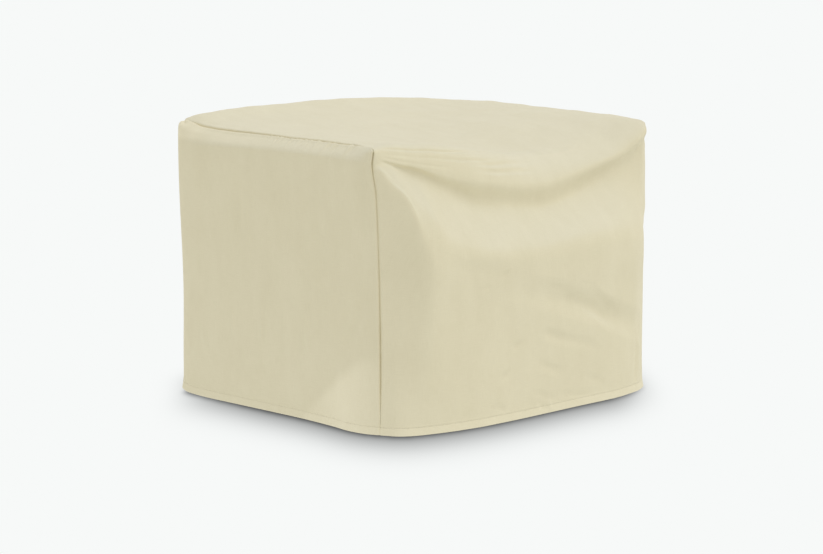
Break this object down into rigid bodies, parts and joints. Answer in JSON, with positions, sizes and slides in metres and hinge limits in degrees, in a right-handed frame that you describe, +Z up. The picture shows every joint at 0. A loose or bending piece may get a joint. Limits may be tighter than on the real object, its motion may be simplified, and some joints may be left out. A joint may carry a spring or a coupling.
{
  "type": "lounge chair cover",
  "caption": "Fitted cloth cover for a low lounge chair, hanging in the shape of the chair: boxy, hollow, open below, with a sagging front fold.",
  "frame": {"origin": "middle of the cover's box, at the level of the hem", "axes": "+X along the front towards the viewer's right, +Y from the front to the back, +Z up"},
  "size_m": [1.0102, 0.8324, 0.6904],
  "materials": {
    "cover_cloth": "pale cream coated polyester weave, matt"
  },
  "bodies": {
    "root": {"front_top_back_panel": "cover_cloth", "left_side_panel": "cover_cloth", "right_side_panel": "cover_cloth"}
  },
  "joints": []
}
